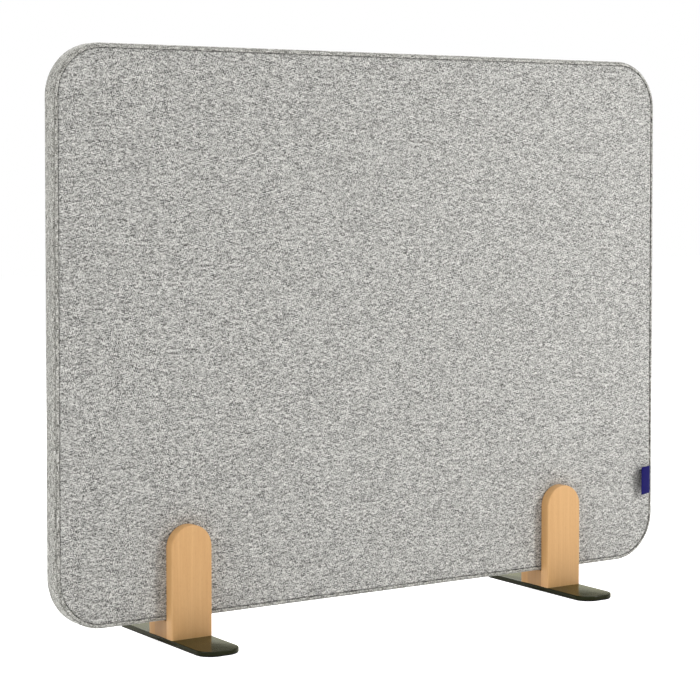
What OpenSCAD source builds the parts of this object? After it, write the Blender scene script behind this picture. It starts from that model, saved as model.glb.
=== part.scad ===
// Acoustic desk divider: a padded fabric panel that stands in two forked beech feet on steel plates.
// Millimetres, Z up. The origin is on the desk, under the middle of the panel.
// The panel runs along X, its front looks along -Y, and each foot is built about its own centre line.

/* [Panel] */
// Width of the panel over its edge band
panel_w = 800; // [600:10:1200]
// Height of the panel over its edge band
panel_h = 600; // [400:10:800]
// Thickness over the raised welts of both faces
panel_t = 25; // [18:1:32]
// Outer radius of the panel's four corners
corner_r = 55; // [30:1:80]
// Radius that the edge band turns from the edge to the face
edge_r = 5; // [4:0.5:6]

/* [Cover] */
// Thickness of the woven cover cloth
fabric_t = 0.9; // [0.6:0.1:1.2]
// Height of the folded welt above the face
welt_rise = 0.7; // [0.4:0.1:1]
// Width of the seam groove between the face and its welt
seam_gap = 0.3; // [0.2:0.1:0.6]
// Diameter of the topstitching thread
thread_d = 0.6; // [0.4:0.1:0.8]

/* [Filling] */
// Thickness of the stiff board in the middle
core_t = 3; // [2:0.5:5]

/* [Label] */
// Height of the folded label along the seam
label_h = 33; // [15:1:60]
// Length of the label from the seam to its fold
label_l = 23; // [12:1:40]
// Thickness of the two layers of the label
label_t = 0.9; // [0.6:0.1:1.2]
// Distance from the end of the corner up to the label
label_up = 23; // [8:1:200]
// Angle at which the label stands off the face
label_deg = 22; // [10:1:60]

/* [Feet] */
// Distance from the panel's end to the middle of a foot
foot_inset = 150; // [110:5:250]
// Width of a foot along the panel
foot_w = 48; // [44:1:60]
// Thickness of the front and rear cheeks
cheek_t = 12.5; // [11:0.5:20]
// Height of a cheek above the panel's lower edge
cheek_rise = 100; // [60:5:160]
// Height of the block that the panel stands on
spacer_h = 18.5; // [14:0.5:40]
// Easing radius on the outer edges of a cheek
ease_r = 1.5; // [0.5:0.5:3]

/* [Base plates] */
// Length of a steel base plate, front to back
plate_l = 186; // [140:2:260]
// Thickness of the steel plate
plate_t = 4.5; // [3:0.5:8]
// Radius of the plate's two front corners
plate_front_r = 18; // [6:0.5:20]
// Radius of the plate's two rear corners
plate_rear_r = 5; // [4:0.5:20]
// Bevel round the plate's upper edge
plate_bevel = 0.6; // [0.3:0.1:0.8]
// Thickness of the anti-slip sheet under the plate
pad_t = 1.2; // [0.8:0.1:3]
// Margin between the plate's edge and the anti-slip sheet
pad_margin = 0.8; // [0.4:0.1:3]

/* [Fasteners] */
// Diameter of the beech dowels
dowel_d = 8; // [6:0.5:9]
// Depth that a dowel enters each cheek
dowel_bite = 7; // [5:0.5:9]
// Distance between the two dowels of a foot
dowel_pitch = 26; // [20:1:28]
// Diameter of the countersunk screws' shanks
screw_d = 4; // [3:0.5:5]
// Length of the countersunk screws
screw_l = 25; // [18:1:40]
// Diameter of the screw heads
head_d = 8; // [7:0.5:9]

/* [Clearances] */
// Free space between the panel and a foot on each side
slot_play = 0.3; // [0.2:0.1:1]
// Free space round a dowel, at its ends and round a screw in the wood
wood_fit = 0.05; // [0.02:0.01:0.1]
// Free space round a screw's shank in the plate
plate_fit = 0.2; // [0.1:0.1:0.5]
// Free space above and below the label in its gap in the welt
label_play = 0.2; // [0.1:0.1:0.5]

/* [Hidden] */
$fn = 64;

// Levels through half of the panel, measured from its middle plane
half_t = panel_t / 2;
face_z = half_t - welt_rise;
under_cover_z = face_z - fabric_t;
under_allowance_z = under_cover_z - fabric_t;
bend_z = face_z - edge_r;
// Gap between the front and rear seam allowances behind the middle of the edge band
allowance_gap = 1;
// Places across the edge, measured inwards from the panel's outline
allowance_in = 2 * fabric_t;
groove_out = edge_r - seam_gap / 2;
groove_in = edge_r + seam_gap / 2;
hem_in = groove_in + fabric_t;
// The welt covers the last part of the turn, and the stitching runs along its foot
welt_deg = 53;
stitch_deg = 47;
// A swept rim reaches this far into the slab that it borders
rim_lap = 4;
// Overrun of every cutter past the faces that it opens
cut = 1;

// Heights and places of the feet
plate_z = pad_t;
wood_z = plate_z + plate_t;
seat_z = wood_z + spacer_h;
panel_z = seat_z + slot_play;
cheek_top_z = panel_z + cheek_rise;
foot_x = panel_w / 2 - foot_inset;
slot_w = panel_t + 2 * slot_play;
cheek_y = slot_w / 2;
screw_y = cheek_y + cheek_t / 2;
dowel_z = wood_z + spacer_h / 2;
dowel_end = 1;
// Screw head and socket proportions follow the head and the shank
head_sink = 0.2;
head_h = (head_d - screw_d) / 2;
socket_d = screw_d * 0.6;
socket_h = head_h * 0.7;
tip_d = screw_d * 0.2;
tip_h = screw_d;

fabric_grey = "#b6b5b0";
felt_grey = "#d9d7cf";
board_brown = "#8a6a48";
thread_grey = "#8e8d88";
label_blue = "#231a5e";
beech = "#dcb07c";
dowel_beech = "#c99a66";
steel_black = "#1d1e1a";
rubber_black = "#26262a";
zinc = "#b9bcc0";

// A rectangle with rounded corners, centred. The two corners towards +y have one radius,
// and the two towards -y have another.
module rounded_plate(w, h, rear_r, front_r) {
    translate([-w / 2, front_r - h / 2]) square([w, h - rear_r - front_r]);
    for (turn = [0, 1]) {
        r = turn == 0 ? rear_r : front_r;
        rotate([0, 0, 180 * turn]) {
            translate([r - w / 2, 0]) square([w - 2 * r, h / 2]);
            for (x = [-1, 1]) translate([x * (w / 2 - r), h / 2 - r]) circle(r);
        }
    }
}

// Sweeps a profile round such a rectangle. The profile's x is measured inwards from
// the outline, and its y stands up.
module rim(w, h, rear_r, front_r) {
    corners = [rear_r, rear_r, front_r, front_r];
    for (turn = [0 : 3]) {
        across = turn % 2 == 0 ? w : h;
        along = turn % 2 == 0 ? h : w;
        start_r = corners[turn];
        end_r = corners[(turn + 3) % 4];
        rotate([0, 0, 90 * turn]) {
            translate([across / 2, along / 2 - start_r, 0]) rotate([90, 0, 0])
                linear_extrude(along - start_r - end_r) mirror([1, 0]) children();
            translate([across / 2 - start_r, along / 2 - start_r, 0])
                rotate_extrude(angle = 90) translate([start_r, 0]) mirror([1, 0]) children();
        }
    }
}

module panel_rim() rim(panel_w, panel_h, corner_r, corner_r) children();

// The panel's outline, drawn in by a distance
module panel_outline(inset)
    rounded_plate(panel_w - 2 * inset, panel_h - 2 * inset, corner_r - inset, corner_r - inset);

// A ring sector of the edge's turn, between two radii and two angles: 0 is the edge, 90 the face
module turn_sector(r_in, r_out, from_deg, to_deg) {
    reach = 2 * r_out;
    mid_deg = (from_deg + to_deg) / 2;
    translate([edge_r, bend_z]) intersection() {
        difference() {
            circle(r_out);
            circle(r_in);
        }
        polygon([
            [0, 0],
            reach * [-cos(from_deg), sin(from_deg)],
            reach * [-cos(mid_deg), sin(mid_deg)],
            reach * [-cos(to_deg), sin(to_deg)]
        ]);
    }
}

// Stands the panel up: its own z becomes the front, and its lower edge meets the feet
module stand_up() translate([0, 0, panel_z + panel_h / 2]) rotate([90, 0, 0]) children();

// Turns the front half of the panel into the rear half
module to_rear() mirror([0, 0, 1]) children();

// Cross-section of half the edge band, with the thicker welt at the face
module band_half_profile() {
    square([fabric_t, bend_z]);
    difference() {
        union() {
            turn_sector(edge_r - fabric_t, edge_r, 0, 90);
            turn_sector(edge_r - fabric_t, edge_r + welt_rise, welt_deg, 90);
        }
        translate([groove_out, bend_z]) square(2 * edge_r);
    }
}

// Cross-section of the seam allowance, turned under the edge band, and of the face cloth's hem
module allowance_profile() {
    turn_sector(edge_r - 2 * fabric_t, edge_r - fabric_t, 0, 90);
    translate([fabric_t, allowance_gap]) square([fabric_t, bend_z - allowance_gap]);
    translate([edge_r, under_allowance_z]) square([hem_in - edge_r, fabric_t]);
    translate([groove_in, under_allowance_z]) square([fabric_t, 2 * fabric_t]);
}

// The space inside the cover, up to the seam allowances
module filling_envelope() {
    inner_r = edge_r - 2 * fabric_t;
    linear_extrude(2 * under_allowance_z, center = true) panel_outline(edge_r);
    panel_rim() {
        translate([allowance_in, -bend_z]) square([inner_r + rim_lap, 2 * bend_z]);
        for (side = [-1, 1]) translate([edge_r, side * bend_z]) circle(inner_r);
        translate([edge_r, -under_allowance_z]) square([rim_lap, 2 * under_allowance_z]);
    }
}

module face_cloth() {
    translate([0, 0, under_cover_z]) linear_extrude(fabric_t) panel_outline(groove_in);
    panel_rim() allowance_profile();
}

module front_cover() color(fabric_grey) stand_up() face_cloth();

module rear_cover() color(fabric_grey) stand_up() to_rear() face_cloth();

// The folded label in its own frame: x runs inwards from the outline, y stands off the face
module label_profile() {
    translate([edge_r - label_t, under_cover_z]) square([label_t, half_t - under_cover_z]);
    translate([edge_r - label_t / 2, half_t]) {
        circle(label_t / 2);
        rotate([0, 0, label_deg]) {
            translate([0, -label_t / 2]) square([label_l, label_t]);
            translate([label_l, 0]) circle(label_t / 2);
        }
    }
}

// Places a profile at the right-hand edge, from the label's lower end upwards
module at_label(height) {
    translate([panel_w / 2, -panel_h / 2 + corner_r + label_up, 0])
        rotate([90, 0, 0]) mirror([0, 0, 1]) linear_extrude(height) mirror([1, 0]) children();
}

module label() color(label_blue) stand_up() at_label(label_h) label_profile();

module edge_band() {
    color(fabric_grey) stand_up() difference() {
        panel_rim() {
            band_half_profile();
            mirror([0, 1]) band_half_profile();
        }
        translate([0, -label_play, 0]) at_label(label_h + 2 * label_play)
            translate([edge_r - label_t, bend_z]) square([label_t + cut, edge_r + welt_rise + cut]);
    }
}

module stitch_ring() {
    stitch_r = edge_r + thread_d / 2;
    panel_rim() translate([
        edge_r - stitch_r * cos(stitch_deg),
        bend_z + stitch_r * sin(stitch_deg)
    ]) circle(thread_d / 2);
}

module front_topstitch() color(thread_grey) stand_up() stitch_ring();

module rear_topstitch() color(thread_grey) stand_up() to_rear() stitch_ring();

// A felt sheet: it fills the envelope on its side of the board and rises to the face cloth
module felt_sheet() {
    core_z = core_t / 2;
    intersection() {
        filling_envelope();
        translate([0, 0, core_z]) linear_extrude(panel_t) square([panel_w, panel_h], center = true);
    }
    translate([0, 0, core_z]) linear_extrude(under_cover_z - core_z) panel_outline(hem_in);
}

module front_absorber() color(felt_grey) stand_up() felt_sheet();

module rear_absorber() color(felt_grey) stand_up() to_rear() felt_sheet();

module core_board() {
    color(board_brown) stand_up() intersection() {
        filling_envelope();
        linear_extrude(core_t, center = true) square([panel_w, panel_h], center = true);
    }
}

// Places a foot's pieces at the left, -1, or the right, 1
module at_foot(side) translate([side * foot_x, 0, 0]) children();

module on_screws() for (side = [-1, 1]) translate([0, side * screw_y, 0]) children();

module on_dowels()
    for (side = [-1, 1]) translate([side * dowel_pitch / 2, 0, dowel_z]) rotate([90, 0, 0]) children();

// The screw's outer form from its head upwards, larger by a clearance round head and shank
module screw_form(head_fit, shank_fit) {
    cylinder(h = head_h, d1 = head_d + 2 * head_fit, d2 = screw_d + 2 * head_fit);
    cylinder(h = screw_l - tip_h, d = screw_d + 2 * shank_fit);
    translate([0, 0, screw_l - tip_h])
        cylinder(h = tip_h, d1 = screw_d + 2 * shank_fit, d2 = tip_d + 2 * shank_fit);
}

// The base plate's outline, drawn in by a distance
module plate_outline(inset)
    rounded_plate(foot_w - 2 * inset, plate_l - 2 * inset, plate_rear_r - inset, plate_front_r - inset);

module base_plate() {
    band = plate_bevel * 2;
    color(steel_black) translate([0, 0, plate_z]) difference() {
        union() {
            linear_extrude(plate_t) plate_outline(band);
            rim(foot_w, plate_l, plate_rear_r, plate_front_r) polygon([
                [0, 0],
                [0, plate_t - plate_bevel],
                [plate_bevel, plate_t],
                [2 * band, plate_t],
                [2 * band, 0]
            ]);
        }
        on_screws() {
            translate([0, 0, -cut]) cylinder(h = plate_t + 2 * cut, d = screw_d + 2 * plate_fit);
            cylinder(h = head_h + head_sink, d1 = head_d + 2 * plate_fit, d2 = screw_d + 2 * plate_fit);
        }
    }
}

module anti_slip_pad() color(rubber_black) linear_extrude(pad_t) plate_outline(pad_margin);

module dowel_bores(length)
    on_dowels() cylinder(h = length, d = dowel_d + 2 * wood_fit, center = true);

module spacer_block() {
    color(beech) difference() {
        translate([-foot_w / 2, -cheek_y, wood_z]) cube([foot_w, slot_w, spacer_h]);
        dowel_bores(slot_w + 2 * cut);
    }
}

// Half of a cheek's cross-section: x across the foot, y from its inner to its outer face
module cheek_half_section() {
    half_w = foot_w / 2;
    square([half_w, cheek_t - ease_r]);
    square([half_w - ease_r, cheek_t]);
    translate([half_w - ease_r, cheek_t - ease_r]) circle(ease_r);
}

module cheek() {
    arch_z = cheek_top_z - foot_w / 2;
    difference() {
        union() {
            translate([0, cheek_y, wood_z]) linear_extrude(arch_z - wood_z) {
                cheek_half_section();
                mirror([1, 0]) cheek_half_section();
            }
            translate([0, cheek_y, arch_z]) rotate([-90, 0, 0]) rotate([0, 0, 180])
                rotate_extrude(angle = 180) cheek_half_section();
        }
        dowel_bores(slot_w + 2 * (dowel_bite + wood_fit));
        translate([0, screw_y, plate_z + head_sink]) screw_form(wood_fit, wood_fit);
    }
}

module front_cheek() color(beech) mirror([0, 1, 0]) cheek();

module rear_cheek() color(beech) cheek();

module cheek_dowels() {
    length = slot_w + 2 * dowel_bite;
    color(dowel_beech) on_dowels() for (side = [0, 1]) mirror([0, 0, side]) {
        cylinder(h = length / 2 - dowel_end, d = dowel_d);
        translate([0, 0, length / 2 - dowel_end])
            cylinder(h = dowel_end, d1 = dowel_d, d2 = dowel_d - dowel_end);
    }
}

module plate_screws() {
    color(zinc) on_screws() translate([0, 0, plate_z + head_sink]) difference() {
        screw_form(0, 0);
        translate([0, 0, -cut]) cylinder(h = socket_h + cut, d = socket_d, $fn = 6);
    }
}

front_cover();
rear_cover();
edge_band();
front_topstitch();
rear_topstitch();
front_absorber();
rear_absorber();
core_board();
label();
at_foot(-1) base_plate();  // left_base_plate
at_foot(-1) anti_slip_pad();  // left_anti_slip_pad
at_foot(-1) spacer_block();  // left_spacer_block
at_foot(-1) front_cheek();  // left_front_cheek
at_foot(-1) rear_cheek();  // left_rear_cheek
at_foot(-1) cheek_dowels();  // left_cheek_dowels
at_foot(-1) plate_screws();  // left_plate_screws
at_foot(1) base_plate();  // right_base_plate
at_foot(1) anti_slip_pad();  // right_anti_slip_pad
at_foot(1) spacer_block();  // right_spacer_block
at_foot(1) front_cheek();  // right_front_cheek
at_foot(1) rear_cheek();  // right_rear_cheek
at_foot(1) cheek_dowels();  // right_cheek_dowels
at_foot(1) plate_screws();  // right_plate_screws
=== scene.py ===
import math

import bmesh
import bpy
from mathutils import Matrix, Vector, noise


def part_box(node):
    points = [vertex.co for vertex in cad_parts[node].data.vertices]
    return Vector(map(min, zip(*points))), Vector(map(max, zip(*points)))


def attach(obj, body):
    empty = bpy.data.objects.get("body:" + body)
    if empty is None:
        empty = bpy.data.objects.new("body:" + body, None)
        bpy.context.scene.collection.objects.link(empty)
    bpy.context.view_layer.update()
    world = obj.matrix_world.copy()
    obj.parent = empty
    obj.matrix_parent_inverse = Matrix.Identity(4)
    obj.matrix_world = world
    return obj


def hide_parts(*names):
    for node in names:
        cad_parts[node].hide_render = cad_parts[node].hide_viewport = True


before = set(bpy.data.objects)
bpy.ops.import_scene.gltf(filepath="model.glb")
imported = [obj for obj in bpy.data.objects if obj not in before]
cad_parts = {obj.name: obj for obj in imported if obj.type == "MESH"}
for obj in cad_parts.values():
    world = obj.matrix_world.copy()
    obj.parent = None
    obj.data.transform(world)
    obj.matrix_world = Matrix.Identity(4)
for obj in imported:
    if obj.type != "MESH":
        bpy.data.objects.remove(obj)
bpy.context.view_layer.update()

# An acoustic desk divider: a cloth-covered panel that stands in two beech feet on black steel plates.
# Sizes are in metres, so a length in millimetres is written as a number times MM.
MM = 0.001

# The panel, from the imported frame
panel_low, panel_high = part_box("edge_band")
PANEL_W = panel_high.x - panel_low.x
PANEL_H = panel_high.z - panel_low.z
MID_Z = (panel_low.z + panel_high.z) / 2
HALF_T = panel_high.y
CORNER_R = 55 * MM

# Across the edge: the band turns from the edge to the face, with the stitches at STITCH_DEG degrees of
# the turn, and its welt stands above the face cloth. FACE and BEND are levels, measured from the
# middle of the panel's thickness.
EDGE_R = 5 * MM
WELT_RISE = 0.7 * MM
FACE = HALF_T - WELT_RISE
BEND = FACE - EDGE_R
CLOTH_T = 0.9 * MM
STITCH_DEG = 47

# The face cloth's seam allowance runs under the band, and ends at a level close to the middle
ALLOWANCE_R = EDGE_R - CLOTH_T - 0.05 * MM
ALLOWANCE_END = 1 * MM

# The spacing of the grid that lets a face cloth follow the felt's unevenness
GRID = 12 * MM

# The felt stands back from the outline, under the edge band
FELT_INSET = 2.2 * MM

# The topstitching. The middle of the thread runs at STITCH_R from the axis of the turn, which is
# STITCH_IN in from the outline. The panel's outline is drawn with a few pieces to each stitch.
STITCH_PITCH = 3.9 * MM
STITCH_L = 3.1 * MM
THREAD_D = 0.6 * MM
STITCH_R = EDGE_R + THREAD_D / 4
STITCH_IN = EDGE_R - STITCH_R * math.cos(math.radians(STITCH_DEG))
PIECES_PER_STITCH = 3

# The weave is drawn about as coarse as it needs to be to show in the render. This is the distance
# between neighbouring yarns.
YARN_PITCH = 1.1 * MM

# The label: its lean off the face in degrees, its reach from the seam and its thickness
LABEL_LEAN = 22
LABEL_REACH = 22 * MM
RIBBON_T = 0.36 * MM

# The wood of the feet: its rims, and the play of what is pushed or screwed into it
CHEEK_EASE = 1.5 * MM
BROKEN_EDGE = 0.4 * MM
WOOD_FIT = 0.05 * MM

# The plates, their screws and the pads under them
PLATE_FRONT_R = 18 * MM
PLATE_REAR_R = 5 * MM
PLATE_RIM_R = 1.2 * MM
PLATE_FOOT_R = 0.3 * MM
PLATE_FIT = 0.2 * MM
SCREW_R = 2 * MM
HEAD_R = 4 * MM
PAD_MARGIN = 0.8 * MM
PAD_EASE = 0.25 * MM

# Places of a mesh that are less than this apart in one direction are level with each other
LEVEL = 0.01 * MM

# The edges of the hard pieces that turn more than this, in degrees, are shaded sharp
SHARP = 35

FRONT, REAR = -1, 1


def outline_length(inset):
    """Length of the panel's outline when it is drawn in by a distance."""
    straight = 2 * (PANEL_W + PANEL_H - 4 * CORNER_R)
    return straight + 2 * math.pi * (CORNER_R - inset)


STITCH_COUNT = round(outline_length(STITCH_IN) / STITCH_PITCH)
STITCH_STEP = outline_length(STITCH_IN) / STITCH_COUNT


# Nodes and colours

def add(tree, kind, inputs=(), out=0, **settings):
    """Adds one node with its settings, links and values, and returns one of its outputs."""
    made = tree.nodes.new("ShaderNode" + kind)
    for key, value in settings.items():
        setattr(made, key, value)
    pairs = inputs.items() if isinstance(inputs, dict) else enumerate(inputs)
    for key, value in pairs:
        if isinstance(value, bpy.types.NodeSocket):
            tree.links.new(value, made.inputs[key])
        else:
            made.inputs[key].default_value = value
    return made.outputs[out]


def paint(hex_colour):
    """A colour written as it looks, turned to the linear values that the shaders take."""
    shares = [int(hex_colour[at:at + 2], 16) / 255 for at in (1, 3, 5)]
    return [s / 12.92 if s <= 0.04045 else ((s + 0.055) / 1.055) ** 2.4 for s in shares] + [1]


def start_material(name):
    """A material with an empty node tree."""
    material = bpy.data.materials.new(name)
    material.use_nodes = True
    material.node_tree.nodes.clear()
    return material, material.node_tree


# Camera and light

def set_camera():
    """The photograph's viewpoint: from the front left, below the panel's upper edge."""
    yaw, pitch = math.radians(33.641), math.radians(2.029)
    bpy.ops.object.camera_add(
        location=(-1.321584, -1.933149, 0.494291),
        rotation=(math.pi / 2 - pitch, 0, -yaw),
    )
    camera = bpy.context.object
    camera.data.lens = 108.159
    camera.data.shift_y = -0.15
    bpy.context.scene.camera = camera


def add_lamp(name, place, target, size, power):
    """A square soft light that looks at a place."""
    aim = (Vector(target) - Vector(place)).to_track_quat("-Z", "Y").to_euler()
    bpy.ops.object.light_add(type="AREA", location=place, rotation=aim)
    lamp = bpy.context.object
    lamp.name = name
    lamp.data.shape = "SQUARE"
    lamp.data.size = size
    lamp.data.energy = power


def seen_directly(tree):
    """1 for what the camera sees, straight or in a gloss or through glass, and 0 for other light."""
    path = add(tree, "LightPath").node.outputs
    gloss = add(tree, "Math", [path["Is Camera Ray"], path["Is Glossy Ray"]], operation="MAXIMUM")
    return add(tree, "Math", [gloss, path["Is Transmission Ray"]], operation="MAXIMUM")


def light_studio():
    """A white studio: weak light all round, a key from the front right, and large soft fills from the
    left, from behind and from above."""
    world = bpy.data.worlds.new("studio")
    world.use_nodes = True
    bpy.context.scene.world = world
    bpy.context.scene.view_settings.view_transform = "Standard"
    tree = world.node_tree
    tree.nodes.clear()
    dim = add(tree, "Background", {"Color": paint("#ffffff"), "Strength": 0.2})
    white = add(tree, "Background", {"Color": paint("#ffffff"), "Strength": 1})
    both = add(tree, "MixShader", [seen_directly(tree), dim, white])
    out = tree.nodes.new("ShaderNodeOutputWorld")
    tree.links.new(both, out.inputs["Surface"])
    for name, place, size, power in (
        ("key", (1.4, -1.66, 1.22), 0.38, 28),
        ("left_fill", (-2.1, -0.4, 1.45), 1.3, 21),
        ("rear_fill", (0.8, 2.1, 1.85), 1.3, 34),
        ("top_fill", (0.1, 0.3, 2.3), 1.2, 26),
    ):
        add_lamp(name, place, (0, 0, MID_Z), size, power)


def lay_floor():
    """A pale floor that keeps a soft shadow of the object, and lights it from below as a lit sheet
    does."""
    bpy.ops.object.select_all(action="DESELECT")
    bpy.ops.mesh.primitive_plane_add(size=14)
    floor = bpy.context.object
    floor.name = "floor"
    material, tree = start_material("white paper floor")
    paper = add(tree, "BsdfDiffuse", {"Color": paint("#f8f8f8")})
    # The sheet's own glow is stronger for the camera than for the light that it sends up
    path = add(tree, "LightPath").node.outputs
    lift = add(tree, "Math", [path["Is Diffuse Ray"], 0.4], operation="MULTIPLY")
    lift = add(tree, "Math", [path["Is Camera Ray"], 0.82, lift], operation="MULTIPLY_ADD")
    glow = add(tree, "Emission", {"Color": paint("#ffffff"), "Strength": lift})
    out = tree.nodes.new("ShaderNodeOutputMaterial")
    tree.links.new(add(tree, "AddShader", [paper, glow]), out.inputs["Surface"])
    floor.data.materials.append(material)


# Materials

def finish_material(tree, colour, roughness, height, depth, constants):
    """Ends a material's pattern in one shader. What is the same all over sits on the shader itself."""
    bump = add(tree, "Bump", {"Height": height, "Distance": depth, "Strength": 1})
    inputs = {"Base Color": colour, "Roughness": roughness, "Normal": bump, **constants}
    shader = add(tree, "BsdfPrincipled", inputs)
    out = tree.nodes.new("ShaderNodeOutputMaterial")
    tree.links.new(shader, out.inputs["Surface"])


def melange_cloth(name, contrast, middle_grey):
    """Plain-woven polyester from melange yarn: light and dark fibres spun together, so that each
    yarn changes its grey every few millimetres, and the face looks like fine pepper and salt."""
    material, tree = start_material(name)
    place = add(tree, "UVMap", uv_map="cloth")
    yarns = add(tree, "VectorMath", [place, (1 / YARN_PITCH,) * 3], operation="MULTIPLY")
    # Yarns wander a little, as in any real cloth
    drift = add(tree, "TexNoise", {"Vector": yarns, "Scale": 0.22, "Detail": 1}, out=1)
    drift = add(tree, "VectorMath", [drift, (0.5, 0.5, 0.5)], operation="SUBTRACT")
    drift = add(tree, "VectorMath", {0: drift, "Scale": 0.7}, operation="SCALE")
    yarns = add(tree, "VectorMath", [yarns, drift], operation="ADD")
    cell = add(tree, "VectorMath", [yarns], operation="FLOOR")
    in_cell = add(tree, "VectorMath", [yarns], operation="FRACTION")
    in_cell = add(tree, "VectorMath", [in_cell, (0.5, 0.5, 0)], operation="SUBTRACT")
    at = add(tree, "SeparateXYZ", [yarns]).node.outputs
    number = add(tree, "SeparateXYZ", [cell]).node.outputs
    offset = add(tree, "SeparateXYZ", [in_cell]).node.outputs
    # Which yarn lies on top swaps from one crossing to the next
    order = add(tree, "Math", [number[0], number[1]], operation="ADD")
    order = add(tree, "Math", [order, 2], operation="FLOORED_MODULO")
    side = add(tree, "Math", [order, -2, 1], operation="MULTIPLY_ADD")
    # The heights of the warp and the weft: each goes over and under, and is round across
    heights = []
    for along, across, sign in ((1, 0, 0.34), (0, 1, -0.34)):
        wave = add(tree, "Math", [offset[along], math.pi], operation="MULTIPLY")
        wave = add(tree, "Math", [wave], operation="COSINE")
        wave = add(tree, "Math", [wave, side], operation="MULTIPLY")
        roundness = add(tree, "Math", [offset[across], 2], operation="POWER")
        roundness = add(tree, "Math", [roundness, -2.4, 0.6], operation="MULTIPLY_ADD")
        heights.append(add(tree, "Math", [wave, sign, roundness], operation="MULTIPLY_ADD"))
    warp_on_top = add(tree, "Math", [heights[0], heights[1]], operation="GREATER_THAN")
    height = add(tree, "Math", [heights[0], heights[1]], operation="MAXIMUM")
    # The grey of each yarn, changing along it: fast on the warp, and slowly on the weft
    greys = []
    for along, across, change in ((1, 0, 0.6), (0, 1, 0.13)):
        run = add(tree, "Math", [at[along], change], operation="MULTIPLY")
        own = add(tree, "Math", [number[across], 7.31], operation="MULTIPLY")
        spot = add(tree, "CombineXYZ", [run, own, float(along)])
        greys.append(add(tree, "TexNoise", {"Vector": spot, "Scale": 1, "Detail": 2, "Roughness": 0.6}))
    grey = add(tree, "Mix", {0: warp_on_top, 2: greys[1], 3: greys[0]}, data_type="FLOAT")
    # Light and dark yarns lie side by side in short dashes, most of all along the weft. They repeat
    # after a number of yarns, and come and go in patches, whose number per yarn is given for X, Y
    # and Z. The last one also keeps the two sets of patches apart.
    for axis, period, patches, strength in (
        (1, 2, (0.24, 0.6, 1), 2.6),
        (0, 2.1, (0.7, 0.4, 3), 2),
    ):
        wave = add(tree, "Math", [at[axis], 2 * math.pi / period], operation="MULTIPLY")
        wave = add(tree, "Math", [wave], operation="COSINE")
        spot = add(tree, "VectorMath", [yarns, patches], operation="MULTIPLY")
        spot = add(tree, "VectorMath", [spot, (0, 0, patches[2])], operation="ADD")
        patch = add(tree, "TexNoise", {"Vector": spot, "Scale": 1, "Detail": 0})
        patch = add(tree, "Math", [patch, strength, -strength / 2], operation="MULTIPLY_ADD")
        grey = add(tree, "Math", [wave, patch, grey], operation="MULTIPLY_ADD")
    # Each crossing is a little lighter or darker by chance
    chance = add(tree, "TexWhiteNoise", {"Vector": cell}, noise_dimensions="3D")
    chance = add(tree, "Math", [chance, 0.7, -0.35], operation="MULTIPLY_ADD")
    grey = add(tree, "Math", [grey, chance], operation="ADD")
    # Painted shade: deeper places are darkened, where yarns dive under each other
    painted_weave_shade = add(tree, "Math", [height, 0.16, -0.09], operation="MULTIPLY_ADD")
    grey = add(tree, "Math", [grey, painted_weave_shade], operation="ADD")
    grey = add(tree, "Math", [grey, contrast, 0.5 - 0.5 * contrast], operation="MULTIPLY_ADD")
    ramp = add(tree, "ValToRGB", [grey]).node
    stops = ramp.color_ramp.elements
    stops[0].position, stops[0].color = 0.14, paint("#383734")
    stops[1].position, stops[1].color = 0.86, paint("#e8e7e2")
    middle = stops.new(0.5)
    middle.color = paint(middle_grey)
    # Painted shade: hardly any light reaches the depth of the seam, so its valley and the stitch line
    # are darkened here
    painted_seam_shade = add(tree, "Attribute", attribute_name="painted_seam_shade", out=2)
    shades = {0: painted_seam_shade, 6: ramp.outputs[0], 7: paint("#191816")}
    colour = add(tree, "Mix", shades, out=2, data_type="RGBA")
    finish_material(
        tree, colour, 0.92, height, 0.3 * MM,
        {"Sheen Weight": 0.12, "Sheen Roughness": 0.5, "Specular IOR Level": 0.2},
    )
    return material


def spun_thread():
    """Spun polyester sewing thread, a little darker and glossier than the cloth."""
    material, tree = start_material("spun polyester thread")
    place = add(tree, "TexCoord", out=3)
    twist = add(tree, "TexNoise", {"Vector": place, "Scale": 1 / (0.5 * MM), "Detail": 1})
    shades = {0: twist, 6: paint("#82817c"), 7: paint("#b5b4af")}
    colour = add(tree, "Mix", shades, out=2, data_type="RGBA")
    finish_material(tree, colour, 0.6, twist, 0.05 * MM, {"Specular IOR Level": 0.4})
    return material


def beech(name, shift, tones=("#cb9a62", "#dfb37b")):
    """Steamed beech, lacquered clear and matt on the cheeks and blocks and raw on the dowels: pinkish
    straw colour, fine straight grain, and short darker rays that follow it."""
    material, tree = start_material(name)
    place = add(tree, "TexCoord", out=3)
    place = add(tree, "VectorMath", [place, shift], operation="ADD")
    streaks = []
    # The width and length of the tone's clouds, of the grain and of the rays, and the detail in them
    for width, length, detail in (
        (7 * MM, 260 * MM, 1),
        (1.3 * MM, 70 * MM, 2),
        (0.5 * MM, 3.2 * MM, 0),
    ):
        stretch = (1 / width, 1 / width, 1 / length)
        stretched = add(tree, "VectorMath", [place, stretch], operation="MULTIPLY")
        streaks.append(add(tree, "TexNoise", {"Vector": stretched, "Scale": 1, "Detail": detail}))
    broad, fine, rays = streaks
    shades = {0: broad, 6: paint(tones[0]), 7: paint(tones[1])}
    colour = add(tree, "Mix", shades, out=2, data_type="RGBA")
    # A range of the pattern's values, and the range of shares that it is turned to
    for pattern, limits, shade in (
        (fine, (0.35, 0.65, 0, 0.3), "#c49157"),
        (rays, (0.63, 0.72, 0, 0.12), "#a87443"),
    ):
        share = add(tree, "MapRange", [pattern, *limits])
        shades = {0: share, 6: colour, 7: paint(shade)}
        colour = add(tree, "Mix", shades, out=2, data_type="RGBA")
    rough = add(tree, "MapRange", {"Value": fine, "To Min": 0.42, "To Max": 0.52})
    finish_material(tree, colour, rough, fine, 0.04 * MM, {"Specular IOR Level": 0.45})
    return material


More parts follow.
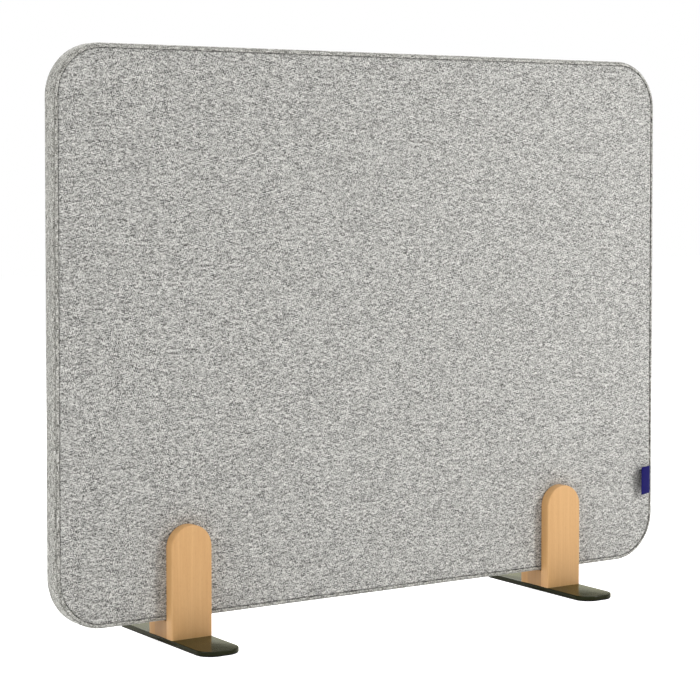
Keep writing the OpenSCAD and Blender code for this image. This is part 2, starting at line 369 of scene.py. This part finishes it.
def powder_coat():
    """Steel plate under gloss black powder coat: it mirrors the wood at a low angle, it has an olive
    cast, and its skin has the slight orange peel of baked powder."""
    material, tree = start_material("gloss black powder coat")
    place = add(tree, "TexCoord", out=3)
    peel = add(tree, "TexNoise", {"Vector": place, "Scale": 1 / (1.6 * MM), "Detail": 1})
    cloud = add(tree, "TexNoise", {"Vector": place, "Scale": 1 / (30 * MM), "Detail": 2})
    shades = {0: cloud, 6: paint("#171902"), 7: paint("#1e2103")}
    colour = add(tree, "Mix", shades, out=2, data_type="RGBA")
    rough = add(tree, "MapRange", {"Value": cloud, "To Min": 0.19, "To Max": 0.24})
    # The coat mirrors nothing itself, and only tints what the skin under it shows
    finish_material(
        tree, colour, rough, peel, 0.01 * MM,
        {"Specular IOR Level": 0.18, "Coat Weight": 1, "Coat IOR": 1, "Coat Tint": paint("#fffffa")},
    )
    return material


def foam_rubber():
    """Closed-cell foam rubber, matt and slightly pitted, so that it grips a desk."""
    material, tree = start_material("black foam rubber")
    place = add(tree, "TexCoord", out=3)
    pits = add(tree, "TexVoronoi", {"Vector": place, "Scale": 1 / (0.9 * MM)})
    shades = {0: pits, 6: paint("#202023"), 7: paint("#333337")}
    colour = add(tree, "Mix", shades, out=2, data_type="RGBA")
    finish_material(tree, colour, 0.9, pits, 0.1 * MM, {"Specular IOR Level": 0.3})
    return material


def ribbon():
    """Woven satin ribbon, deep blue: fine ribs across it, and hardly any shine."""
    material, tree = start_material("woven satin ribbon")
    place = add(tree, "TexCoord", out=3)
    stretch = (1 / (9 * MM), 1 / (9 * MM), 1 / (0.55 * MM))
    stretched = add(tree, "VectorMath", [place, stretch], operation="MULTIPLY")
    ribs = add(tree, "TexNoise", {"Vector": stretched, "Scale": 1, "Detail": 1})
    shades = {0: ribs, 6: paint("#0e0b49"), 7: paint("#191562")}
    colour = add(tree, "Mix", shades, out=2, data_type="RGBA")
    finish_material(tree, colour, 0.5, ribs, 0.08 * MM, {"Specular IOR Level": 0.04})
    return material


def needled_felt():
    """Needle-punched polyester felt: matt, with loose curly fibres."""
    material, tree = start_material("needled polyester felt")
    place = add(tree, "TexCoord", out=3)
    curl = {"Vector": place, "Scale": 1 / (1.2 * MM), "Detail": 4, "Distortion": 2}
    fibres = add(tree, "TexNoise", curl)
    shades = {0: fibres, 6: paint("#c4c1b6"), 7: paint("#ebe9e1")}
    colour = add(tree, "Mix", shades, out=2, data_type="RGBA")
    finish_material(tree, colour, 1, fibres, 0.4 * MM, {"Sheen Weight": 0.2})
    return material


def hardboard():
    """Pressed wood fibre board, brown and faintly mottled."""
    material, tree = start_material("pressed fibre board")
    place = add(tree, "TexCoord", out=3)
    fibres = add(tree, "TexNoise", {"Vector": place, "Scale": 1 / (2.5 * MM), "Detail": 5})
    shades = {0: fibres, 6: paint("#6f5134"), 7: paint("#9a7850")}
    colour = add(tree, "Mix", shades, out=2, data_type="RGBA")
    finish_material(tree, colour, 0.7, fibres, 0.05 * MM, {"Specular IOR Level": 0.3})
    return material


def zinc_plate():
    """Bright zinc-plated steel: a pale metal with a slightly cloudy shine."""
    material, tree = start_material("bright zinc plate")
    place = add(tree, "TexCoord", out=3)
    cloud = add(tree, "TexNoise", {"Vector": place, "Scale": 1 / (2 * MM), "Detail": 3})
    shades = {0: cloud, 6: paint("#b3b7bb"), 7: paint("#d4d7da")}
    colour = add(tree, "Mix", shades, out=2, data_type="RGBA")
    rough = add(tree, "MapRange", {"Value": cloud, "To Min": 0.25, "To Max": 0.4})
    finish_material(tree, colour, rough, cloud, 0.01 * MM, {"Metallic": 1})
    return material


# Modelling helpers

def begin(name):
    """Names the primitive that was just added, puts its place in its mesh and opens it for editing."""
    piece = bpy.context.object
    piece.name = piece.data.name = name
    bpy.ops.object.transform_apply(location=True, rotation=True, scale=True)
    bpy.ops.object.mode_set(mode="EDIT")
    return piece


def end(piece, material):
    """Closes a piece's editing and gives it its finish."""
    bpy.ops.object.mode_set(mode="OBJECT")
    piece.data.materials.append(material)


def pick(piece, kind, wanted):
    """Selects, in edit mode, the vertices or edges that a test wants."""
    bpy.ops.mesh.select_mode(type=kind)
    bpy.ops.mesh.select_all(action="DESELECT")
    mesh = bmesh.from_edit_mesh(piece.data)
    for part in {"VERT": mesh.verts, "EDGE": mesh.edges}[kind]:
        part.select = wanted(part)
    mesh.select_flush_mode()
    bmesh.update_edit_mesh(piece.data)


def face_up(piece, direction):
    """Turns a flat selected face to look in a direction."""
    mesh = bmesh.from_edit_mesh(piece.data)
    face = next(f for f in mesh.faces if f.select)
    face.normal_update()
    if face.normal.dot(Vector(direction)) < 0:
        bpy.ops.mesh.flip_normals()


def flat_sheet(name, width, height, centre, turn):
    """A flat rectangle, open in edit mode."""
    bpy.ops.object.select_all(action="DESELECT")
    bpy.ops.mesh.primitive_plane_add(size=1)
    bpy.context.object.dimensions = (width, height, 0)
    bpy.context.object.rotation_euler = turn
    bpy.context.object.location = centre
    return begin(name)


def rounded_sheet(name, width, height, corner, arc_steps, across_cuts, up_cuts, centre, turn, faces_to):
    """A flat face with rounded corners, open in edit mode. Its sides can be cut into even pieces."""
    piece = flat_sheet(name, width, height, centre, turn)
    bpy.ops.mesh.bevel(offset=corner, segments=arc_steps, affect="VERTICES")
    bpy.ops.mesh.delete(type="ONLY_FACE")
    for cuts, side in ((across_cuts, width), (up_cuts, height)):
        if cuts:
            straight = side - 2 * corner
            pick(piece, "EDGE", lambda e: abs(e.calc_length() - straight) < corner / 50)
            bpy.ops.mesh.subdivide(number_cuts=cuts)
    bpy.ops.mesh.select_all(action="SELECT")
    bpy.ops.mesh.edge_face_add()
    face_up(piece, faces_to)
    return piece


def step_inwards(start, profile):
    """Insets the selected face along a profile of (inwards, upwards) places."""
    inwards, upwards = start
    for to_inwards, to_upwards in profile:
        bpy.ops.mesh.inset(thickness=to_inwards - inwards, depth=to_upwards - upwards)
        inwards, upwards = to_inwards, to_upwards


def draw_out(offset):
    """Extrudes the whole flat piece that is open in edit mode, and turns its faces outwards."""
    bpy.ops.mesh.extrude_region_move(TRANSFORM_OT_translate={"value": offset})
    bpy.ops.mesh.select_all(action="SELECT")
    bpy.ops.mesh.normals_make_consistent(inside=False)


def face_outwards():
    """Turns the faces of the active object outwards."""
    bpy.ops.object.mode_set(mode="EDIT")
    bpy.ops.mesh.select_all(action="SELECT")
    bpy.ops.mesh.normals_make_consistent(inside=False)
    bpy.ops.object.mode_set(mode="OBJECT")


def use_modifier(piece, kind, **settings):
    """Adds a modifier and applies it."""
    bpy.context.view_layer.objects.active = piece
    modifier = piece.modifiers.new(kind.lower(), kind)
    for key, value in settings.items():
        setattr(modifier, key, value)
    bpy.ops.object.modifier_apply(modifier=modifier.name)


def select_only(piece):
    """Makes one object the selected and active one."""
    bpy.ops.object.select_all(action="DESELECT")
    piece.select_set(True)
    bpy.context.view_layer.objects.active = piece


def smooth(piece, degrees):
    """Shades a piece smooth, but not across edges that are sharper than an angle."""
    select_only(piece)
    bpy.ops.object.shade_smooth_by_angle(angle=math.radians(degrees))


# Places on the panel

def inwards_of(x, z):
    """How far a place on the panel lies in from its outline."""
    over_x = abs(x) - (PANEL_W / 2 - CORNER_R)
    over_z = abs(z - MID_Z) - (PANEL_H / 2 - CORNER_R)
    if over_x > 0 and over_z > 0:
        return CORNER_R - math.hypot(over_x, over_z)
    return CORNER_R - max(over_x, over_z)


def along_outline(x, z):
    """How far round the seam a place lies, from the middle of the lower edge and anticlockwise."""
    radius = CORNER_R - STITCH_IN
    half_w, half_h = PANEL_W / 2 - CORNER_R, PANEL_H / 2 - CORNER_R
    quarter = radius * math.pi / 2
    z -= MID_Z
    if abs(x) <= half_w:
        if z < 0:
            return x % outline_length(STITCH_IN)
        return half_w + 2 * half_h + 2 * quarter + half_w - x
    if abs(z) <= half_h:
        if x > 0:
            return half_w + quarter + half_h + z
        return 3 * half_w + 3 * quarter + 3 * half_h - z
    turn = math.atan2(abs(z) - half_h, abs(x) - half_w) * radius
    if x > 0:
        return half_w + quarter + (-turn if z < 0 else 2 * half_h + turn)
    return 3 * half_w + 3 * quarter + (2 * half_h - turn if z > 0 else 4 * half_h + turn)


def lay_cloth_map(piece, place):
    """Gives a cloth piece its own map, in metres of cloth along and across the weave."""
    layer = piece.data.uv_layers.new(name="cloth")
    spots = [place(v.co) for v in piece.data.vertices]
    loop_length = outline_length(STITCH_IN)
    for face in piece.data.polygons:
        first = spots[face.vertices[0]][0]
        for loop, vertex in zip(face.loop_indices, face.vertices):
            along, across = spots[vertex]
            wraps = round((first - along) / loop_length)
            layer.data[loop].uv = (along + wraps * loop_length, across)


def near_stitches(co, spread):
    """1 on the line of the stitches, and falling off over a spread in degrees round the welt."""
    turn = math.atan2(abs(co.y) - BEND, EDGE_R - inwards_of(co.x, co.z))
    return math.exp(-((math.degrees(turn) - STITCH_DEG) / spread) ** 2)


def stitch_beat(co):
    """1 at a needle hole and -1 at the middle of a stitch."""
    return math.cos(2 * math.pi * along_outline(co.x, co.z) / STITCH_STEP)


def paint_seam_shade(piece):
    """Gives a cloth piece its share of painted shade in two dark places that light hardly reaches: the
    seam's valley, which closes here and there, and the line where the stitches draw the cloth in,
    darkest at the needle holes."""
    layer = piece.data.attributes.new("painted_seam_shade", "FLOAT", "POINT")
    for vertex, spot in zip(piece.data.vertices, layer.data):
        # The valley lies between 4.5 and 6 mm in from the outline, and below the welt
        inwards = inwards_of(vertex.co.x, vertex.co.z) / MM
        level = abs(vertex.co.y) / MM
        from_welt = (inwards - 4.5) / 0.2
        from_face = (6 - inwards) / 0.8
        depth = (FACE / MM + 0.3 - level) / 0.3
        valley = max(0, min(1, from_welt, from_face, depth))
        openness = 0.5 + 0.7 * noise.noise(vertex.co / (5 * MM))
        # Painted shade on the line where the stitches draw the cloth in, darkest at the needle holes
        drawn_in = near_stitches(vertex.co, 6) * (0.06 + 0.11 * (1 + stitch_beat(vertex.co)))
        spot.value = max(valley * max(0.1, min(1, openness)), drawn_in)


def outline_face(name, inset, level, side):
    """A rounded face that stands parallel to the panel's faces, with an outline in small even pieces."""
    piece_l = STITCH_STEP / PIECES_PER_STITCH
    return rounded_sheet(
        name,
        PANEL_W - 2 * inset,
        PANEL_H - 2 * inset,
        CORNER_R - inset,
        round(math.pi / 2 * CORNER_R / piece_l),
        round((PANEL_W - 2 * CORNER_R) / piece_l) - 1,
        round((PANEL_H - 2 * CORNER_R) / piece_l) - 1,
        (0, side * level, MID_Z),
        (math.pi / 2, 0, 0),
        (0, side, 0),
    )


def on_bend(radius, degrees):
    """A profile's place on the turn from the edge to the face: inwards, and up from the middle."""
    turn = math.radians(degrees)
    return EDGE_R - radius * math.cos(turn), BEND + radius * math.sin(turn)


def over_face(*places):
    """A profile's places, given in millimetres inwards from the outline and up from the face."""
    return [(inwards * MM, FACE + rise * MM) for inwards, rise in places]


# The cover

def face_cover(node, side, material):
    """The cloth of one face: it rolls down into the seam all round and lies on the felt in between."""
    start = (EDGE_R - ALLOWANCE_R, ALLOWANCE_END)
    allowance = [(start[0], BEND)] + [on_bend(ALLOWANCE_R, degrees) for degrees in (28, 55, 78)]
    roll = over_face(
        (4.95, -0.95), (5.35, -0.85), (5.6, -0.55), (5.95, -0.28), (6.3, -0.16),
        (6.8, -0.06), (8, 0.01), (11, 0.05), (16, 0.05), (24, 0.05),
    )
    piece = outline_face(node + "_cloth", *start, side)
    step_inwards(start, allowance + roll)
    # The middle is cut into a grid, so that it can follow the felt's unevenness
    bpy.ops.mesh.hide(unselected=True)
    for length, centre, normal in ((PANEL_W, 0, (1, 0, 0)), (PANEL_H, MID_Z, (0, 0, 1))):
        cuts = round(length / GRID)
        for cut in range(1, cuts):
            at = centre + length * (cut / cuts - 0.5)
            bpy.ops.mesh.select_all(action="SELECT")
            bpy.ops.mesh.bisect(plane_co=Vector(normal) * at, plane_no=normal)
    bpy.ops.mesh.reveal()
    end(piece, material)
    for vertex in piece.data.vertices:
        vertex.co.y += side * felt_unevenness(vertex.co, side)
    use_modifier(piece, "SOLIDIFY", thickness=CLOTH_T, offset=-1)
    smooth(piece, 180)
    lay_cloth_map(piece, lambda co: (co.x, co.z))
    paint_seam_shade(piece)
    return piece


def felt_unevenness(co, side):
    """The slight waviness of cloth on felt, broad and fine, which fades out towards the seam."""
    inwards = inwards_of(co.x, co.z)
    fade = min(1, max(0, (inwards - EDGE_R) / (14 * MM)))
    wave = noise.noise(Vector((co.x, co.z, side)) / (75 * MM)) * 0.35
    ripple = noise.noise(Vector((co.x, co.z, side + 5)) / (22 * MM)) * 0.1
    return (wave + ripple) * fade * MM


def band_across(co):
    """How far a place on the edge band lies from its middle line, measured over the turn."""
    level = abs(co.y)
    if level <= BEND:
        return co.y
    turn = math.atan2(level - BEND, EDGE_R - inwards_of(co.x, co.z))
    return math.copysign(BEND + EDGE_R * turn, co.y)


def pull_in_at_stitches(piece):
    """The thread draws the cloth in at the needle holes, so that the welt swells a little in between."""
    mesh = piece.data
    moves = []
    for vertex in mesh.vertices:
        if abs(vertex.co.y) <= BEND:
            moves.append(0)
            continue
        swell = noise.noise(vertex.co / (7 * MM)) * 0.12
        drawn_in = near_stitches(vertex.co, 11) * 0.12 * (1 + stitch_beat(vertex.co))
        moves.append((swell - drawn_in) * MM)
    normals = [vertex.normal.copy() for vertex in mesh.vertices]
    for vertex, normal, move in zip(mesh.vertices, normals, moves):
        vertex.co += normal * move


def edge_band(material):
    """The strip round the edge. Its seam allowances, stitched down, make a welt beside each face."""
    # The turn in degrees, and the rise in millimetres: it dips at the stitches and swells beyond them
    outside = [(0, BEND)]
    for degrees, rise in (
        (12, 0), (26, 0), (38, 0), (44, -0.05), (STITCH_DEG, -0.17), (50.5, 0),
        (55, 0.3), (61, 0.55), (69, 0.7), (77, 0.7), (84, 0.55),
    ):
        outside.append(on_bend(EDGE_R + rise * MM, degrees))
    outside += over_face((4.6, 0.3), (4.72, -0.2), (4.78, -0.95))
    inside = [(CLOTH_T, BEND)] + over_face((2.1, -2), (3.6, -1.2), (4.7, -1.05))
    shells = []
    for name, start, profile in (
        ("edge_band_cloth", (0, 0), outside),
        ("band_lining", (CLOTH_T, 0), inside),
    ):
        shells.append(outline_face(name, *start, FRONT))
        step_inwards(start, profile)
        bpy.ops.mesh.delete(type="ONLY_FACE")
        if name == "band_lining":
            bpy.ops.mesh.select_all(action="SELECT")
            bpy.ops.mesh.flip_normals()
        bpy.ops.object.mode_set(mode="OBJECT")
    band, lining = shells
    select_only(band)
    lining.select_set(True)
    bpy.ops.object.join()
    # The two shells are joined where they end in the seam
    bpy.ops.object.mode_set(mode="EDIT")
    pick(band, "EDGE", lambda e: e.is_boundary and e.verts[0].co.y < 1.5 * MM - FACE)
    bpy.ops.mesh.bridge_edge_loops()
    end(band, material)
    use_modifier(
        band, "MIRROR",
        use_axis=(False, True, False),
        use_clip=False,
        merge_threshold=LEVEL,
    )
    face_outwards()
    pull_in_at_stitches(band)
    smooth(band, 180)
    lay_cloth_map(band, lambda co: (along_outline(co.x, co.z), band_across(co)))
    paint_seam_shade(band)
    return band


def topstitch(node, side, material):
    """A ring of separate stitches. One stitch is modelled, and copies of it follow the seam line."""
    # The line that the stitches follow, flat on the ground for now
    line = rounded_sheet(
        "stitch_line",
        PANEL_W - 2 * STITCH_IN,
        PANEL_H - 2 * STITCH_IN,
        CORNER_R - STITCH_IN,
        64, 0, 0, (0, 0, 0), (0, 0, 0), (0, 0, 1),
    )
    bpy.ops.mesh.delete(type="ONLY_FACE")
    bpy.ops.object.mode_set(mode="OBJECT")
    bpy.ops.object.convert(target="CURVE")
    line.data.dimensions = "2D"
    # One stitch, lying along X, with both ends drawn down into the cloth
    bpy.ops.object.select_all(action="DESELECT")
    bpy.ops.mesh.primitive_cylinder_add(
        vertices=6,
        radius=THREAD_D / 2,
        depth=STITCH_L,
        end_fill_type="NGON",
        rotation=(0, math.pi / 2, 0),
    )
    stitches = begin(node + "_thread")
    for share in (-0.36, -0.14, 0.14, 0.36):
        bpy.ops.mesh.select_all(action="SELECT")
        bpy.ops.mesh.bisect(plane_co=(share * STITCH_L, 0, 0), plane_no=(1, 0, 0))
    end(stitches, material)
    lean = math.radians(STITCH_DEG)
    out_of_cloth = Vector((0, -math.cos(lean), math.sin(lean)))
    lift, dive = 0.1 * MM, 0.42 * MM
    for vertex in stitches.data.vertices:
        share = vertex.co.x / (STITCH_L / 2)
        vertex.co += out_of_cloth * (lift - dive * share ** 4)
        vertex.co.x += STITCH_STEP / 2
    smooth(stitches, 50)
    use_modifier(
        stitches, "ARRAY",
        count=STITCH_COUNT,
        use_relative_offset=False,
        use_constant_offset=True,
        constant_offset_displace=(STITCH_STEP, 0, 0),
    )
    use_modifier(stitches, "CURVE", object=line, deform_axis="POS_X")
    bpy.data.objects.remove(line)
    level = BEND + STITCH_R * math.sin(lean)
    stitches.rotation_euler = (math.pi / 2, 0, 0 if side == FRONT else math.pi)
    stitches.location = (0, side * level, MID_Z)
    select_only(stitches)
    bpy.ops.object.transform_apply(location=True, rotation=True, scale=True)
    return stitches


def label_path():
    """The path of the ribbon's middle: across towards the middle of the panel, and off the face."""
    apart = 0.25 * MM
    lean = math.radians(LABEL_LEAN)
    out = Vector((math.cos(lean), math.sin(lean)))
    left = Vector((-out.y, out.x))
    root = Vector((0, 1.3 * MM))
    tip = root + out * LABEL_REACH
    shares = (0.08, 0.2, 0.34, 0.48, 0.62, 0.76, 0.9, 1)

    def on_layer(share, aside):
        """A place on one layer of the ribbon, which bows a little between its root and its tip."""
        bow = 0.5 * MM * math.sin(math.pi * share)
        return root + out * LABEL_REACH * share + left * (aside + bow)

    path = [(-apart, 0), (-apart, 0.5 * MM)]
    path += [on_layer(share, apart) for share in shares]
    for degrees in (60, 30, 0, -30, -60):
        turn = math.radians(degrees)
        path.append(tip + out * apart * math.cos(turn) + left * apart * math.sin(turn))
    path += [on_layer(share, -apart) for share in reversed(shares)]
    return path + [(apart, 0.5 * MM), (apart, 0)]


def seam_label(material):
    """A ribbon folded in half and caught in the seam. It leaves the seam, leans over and folds back."""
    low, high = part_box("label")
    height = high.z - low.z
    # The ribbon starts in the seam, just below the face
    seam_x = PANEL_W / 2 - 4.75 * MM
    start_y = 0.6 * MM - FACE
    places = [Vector((seam_x - across, start_y - off, low.z)) for across, off in label_path()]
    bpy.ops.object.select_all(action="DESELECT")
    bpy.ops.mesh.primitive_plane_add(size=height, rotation=(math.pi / 2, 0, 0))
    label = begin("label_ribbon")
    # The plane keeps one upright edge, which is drawn along the path
    pick(label, "EDGE", lambda e: all(v.co.x > 0 for v in e.verts))
    bpy.ops.mesh.delete(type="VERT")
    bpy.ops.mesh.select_all(action="SELECT")
    bpy.ops.mesh.delete(type="ONLY_FACE")
    bpy.ops.mesh.select_mode(type="EDGE")
    bpy.ops.mesh.select_all(action="SELECT")
    bpy.ops.mesh.subdivide(number_cuts=7)
    first = places[0] - Vector((-height / 2, 0, -height / 2))
    bpy.ops.transform.translate(value=first)
    for before, after in zip(places, places[1:]):
        bpy.ops.mesh.extrude_region_move(TRANSFORM_OT_translate={"value": after - before})
    end(label, material)
    use_modifier(label, "SOLIDIFY", thickness=RIBBON_T, offset=0)
    use_modifier(
        label, "BEVEL",
        width=0.1 * MM,
        segments=2,
        limit_method="ANGLE",
        angle_limit=math.radians(50),
    )
    face_outwards()
    smooth(label, 40)
    return label


# The feet

def bore(piece, radius_low, radius_high, depth, centre, turn=(0, 0, 0)):
    """Drills a round or countersunk hole, whose middle is at a place, in a piece."""
    bpy.ops.object.select_all(action="DESELECT")
    bpy.ops.mesh.primitive_cone_add(
        vertices=32,
        radius1=radius_low,
        radius2=radius_high,
        depth=depth,
        location=centre,
        rotation=turn,
    )
    drill = bpy.context.object
    use_modifier(piece, "BOOLEAN", object=drill, operation="DIFFERENCE", solver="EXACT")
    bpy.data.objects.remove(drill)


def bore_for_dowels(piece, node):
    """Drills the holes of a foot's two dowels, which lie along Y."""
    low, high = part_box(node)
    dowel_r = (high.z - low.z) / 2
    hole_r, length = dowel_r + WOOD_FIT, high.y - low.y + 2 * WOOD_FIT
    for x in (low.x + dowel_r, high.x - dowel_r):
        middle = (x, (low.y + high.y) / 2, (low.z + high.z) / 2)
        bore(piece, hole_r, hole_r, length, middle, (math.pi / 2, 0, 0))


def cheek(node, foot, side, material):
    """One arm of a foot: beech with a round top, its rims eased with fine paper."""
    low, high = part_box(node)
    width, height, thick = high.x - low.x, high.z - low.z, high.y - low.y
    inner_y = high.y if side == FRONT else low.y
    outer_y = inner_y + side * thick
    centre = ((low.x + high.x) / 2, inner_y, (low.z + high.z) / 2)
    piece = flat_sheet(node + "_beech", width, height, centre, (math.pi / 2, 0, 0))
    pick(piece, "VERT", lambda v: v.co.z > centre[2])
    bpy.ops.mesh.bevel(offset=width / 2 - LEVEL, segments=32, affect="VERTICES")
    bpy.ops.mesh.select_all(action="SELECT")
    draw_out((0, side * thick, 0))
    bpy.ops.mesh.remove_doubles(threshold=3 * LEVEL)
    # The rims are eased, but not at the foot, where the cheek meets the plate
    for rim_y, ease, steps in ((outer_y, CHEEK_EASE, 5), (inner_y, BROKEN_EDGE, 2)):
        pick(piece, "EDGE", lambda e: all(abs(v.co.y - rim_y) < LEVEL for v in e.verts)
             and any(v.co.z > low.z + LEVEL for v in e.verts))
        bpy.ops.mesh.bevel(offset=ease, segments=steps, affect="EDGES")
    end(piece, material)
    bore_for_dowels(piece, foot + "_cheek_dowels")
    # A pilot hole for the screw, which ends where the screw's point begins
    screw_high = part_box(foot + "_plate_screws")[1]
    hole_r, depth = SCREW_R + WOOD_FIT, screw_high.z - low.z - SCREW_R * 2
    bore(piece, hole_r, hole_r, 2 * depth, (centre[0], side * (screw_high.y - HEAD_R), low.z))
    smooth(piece, SHARP)
    return piece


def spacer(node, foot, material):
    """The block between the cheeks, on which the panel stands. Its edges from front to rear are just
    broken."""
    low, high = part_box(node)
    bpy.ops.object.select_all(action="DESELECT")
    bpy.ops.mesh.primitive_cube_add(size=1)
    bpy.context.object.dimensions = high - low
    bpy.context.object.location = (low + high) / 2
    piece = begin(node + "_beech")
    pick(piece, "EDGE", lambda e: abs(e.verts[0].co.x - e.verts[1].co.x) < MM
         and abs(e.verts[0].co.y - e.verts[1].co.y) > MM)
    bpy.ops.mesh.bevel(offset=BROKEN_EDGE, segments=2, affect="EDGES")
    end(piece, material)
    bore_for_dowels(piece, foot + "_cheek_dowels")
    smooth(piece, SHARP)
    return piece


def plate_blank(name, low, high, margin):
    """A flat face with a base plate's outline, open in edit mode: wide front corners, small rear
    ones. A margin makes the corners of a smaller sheet run beside the plate's."""
    centre = ((low.x + high.x) / 2, (low.y + high.y) / 2, low.z)
    piece = flat_sheet(name, high.x - low.x, high.y - low.y, centre, (0, 0, 0))
    for end_y, radius, steps in ((low.y, PLATE_FRONT_R, 24), (high.y, PLATE_REAR_R, 10)):
        pick(piece, "VERT", lambda v: abs(v.co.y - end_y) < LEVEL)
        bpy.ops.mesh.bevel(offset=radius - margin, segments=steps, affect="VERTICES")
    bpy.ops.mesh.select_all(action="SELECT")
    return piece


def plate(node, foot, material):
    """A steel plate with round corners. Its upper rim is rounded over, and the lower one is just
    broken."""
    low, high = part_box(node)
    thick = high.z - low.z
    middle_x = (low.x + high.x) / 2
    piece = plate_blank(node + "_steel", low, high, 0)
    draw_out((0, 0, thick))
    for level, radius, steps in ((high.z, PLATE_RIM_R, 6), (low.z, PLATE_FOOT_R, 2)):
        pick(piece, "EDGE", lambda e: all(abs(v.co.z - level) < LEVEL for v in e.verts))
        bpy.ops.mesh.bevel(offset=radius, segments=steps, affect="EDGES")
    end(piece, material)
    screw_low, screw_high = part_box(foot + "_plate_screws")
    hole_r, wide_r, sunk = SCREW_R + PLATE_FIT, HEAD_R + PLATE_FIT, HEAD_R - SCREW_R + PLATE_FIT
    for screw_y in (screw_low.y + HEAD_R, screw_high.y - HEAD_R):
        bore(piece, hole_r, hole_r, 4 * thick, (middle_x, screw_y, low.z))
        bore(piece, wide_r, hole_r, sunk, (middle_x, screw_y, low.z + sunk / 2))
    smooth(piece, SHARP)
    return piece


def pad(node, material):
    """The anti-slip sheet under a plate, with softened rims."""
    low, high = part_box(node)
    piece = plate_blank(node + "_rubber", low, high, PAD_MARGIN)
    draw_out((0, 0, high.z - low.z))
    pick(piece, "EDGE", lambda e: abs(e.verts[0].co.z - e.verts[1].co.z) < LEVEL)
    bpy.ops.mesh.bevel(offset=PAD_EASE, segments=2, affect="EDGES")
    end(piece, material)
    smooth(piece, SHARP)
    return piece


def absorber(node, side, material):
    """A felt sheet with soft edges, on one side of the board."""
    low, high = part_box(node)
    inner = low.y if side == REAR else high.y
    thick = high.y - low.y
    piece = rounded_sheet(
        node + "_felt",
        PANEL_W - 2 * FELT_INSET,
        PANEL_H - 2 * FELT_INSET,
        CORNER_R - FELT_INSET,
        24, 0, 0, (0, inner, MID_Z), (math.pi / 2, 0, 0), (0, side, 0),
    )
    # The soft edge, in millimetres inwards and below the felt's face
    steps = ((0, 4.5), (0.6, 2.9), (2, 1.7), (4.2, 1.2), (4.4, 0.4), (4.9, 0))
    step_inwards((0, 0), [(inwards * MM, thick - below * MM) for inwards, below in steps])
    pick(piece, "EDGE", lambda e: e.is_boundary)
    bpy.ops.mesh.edge_face_add()
    bpy.ops.mesh.select_all(action="SELECT")
    bpy.ops.mesh.normals_make_consistent(inside=False)
    end(piece, material)
    smooth(piece, 60)
    return piece


# Everything together

def place_piece(piece, body, material_slot, *nodes):
    """Puts a modelled piece in the place of its CAD nodes."""
    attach(piece, body)
    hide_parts(*nodes)


def refinish(node, material):
    """Gives a CAD node that is kept as it is its finish."""
    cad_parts[node].data.materials.clear()
    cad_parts[node].data.materials.append(material)


def dress_panel():
    """The panel's cloth, thread, felt, label and board."""
    cloth = melange_cloth("melange woven cloth", 0.5, "#a8a7a3")
    # The edge band's copy of the cloth is a little darker and flatter, as painted shade on the panel's
    # turned edges
    shaded_band_cloth = melange_cloth("melange woven cloth, edge band", 0.46, "#a4a39c")
    thread, felt = spun_thread(), needled_felt()
    for word, side in (("front", FRONT), ("rear", REAR)):
        cover = face_cover(word + "_cover", side, cloth)
        place_piece(cover, "panel", "cover_cloth", word + "_cover")
        stitches = topstitch(word + "_topstitch", side, thread)
        place_piece(stitches, "panel", "thread", word + "_topstitch")
        filling = absorber(word + "_absorber", side, felt)
        place_piece(filling, "panel", "absorber_felt", word + "_absorber")
    band = edge_band(shaded_band_cloth)
    place_piece(band, "panel", "cover_cloth", "edge_band")
    label = seam_label(ribbon())
    place_piece(label, "panel", "label_ribbon", "label")
    refinish("core_board", hardboard())


def dress_feet():
    """The two feet, which are the same piece twice."""
    # The blocks get a darker tone as painted shade under the panel, and the rear cheeks get darker tones
    # than the front cheeks too
    front_wood = beech("lacquered beech", (0.31, 0.7, 0.13))
    rear_wood = beech("lacquered beech, rear cheek", (1.7, 0.2, 0.5), ("#b98955", "#cda26c"))
    shaded_block_wood = beech("lacquered beech, block", (2.9, 1.1, 0.9), ("#a87e50", "#ba9364"))
    dowel_wood = beech("turned beech dowel", (0.4, 3.3, 0.2))
    black, rubber, zinc = powder_coat(), foam_rubber(), zinc_plate()
    for foot in ("left", "right"):
        body = foot + "_foot"
        for word, side, wood in (("_front_cheek", FRONT, front_wood), ("_rear_cheek", REAR, rear_wood)):
            place_piece(cheek(foot + word, foot, side, wood), body, "beech", foot + word)
        name = foot + "_spacer_block"
        place_piece(spacer(name, foot, shaded_block_wood), body, "beech", name)
        name = foot + "_base_plate"
        place_piece(plate(name, foot, black), body, "black_steel", name)
        name = foot + "_anti_slip_pad"
        place_piece(pad(name, rubber), body, "pad_rubber", name)
        refinish(foot + "_cheek_dowels", dowel_wood)
        refinish(foot + "_plate_screws", zinc)


set_camera()
light_studio()
lay_floor()
dress_panel()
dress_feet()
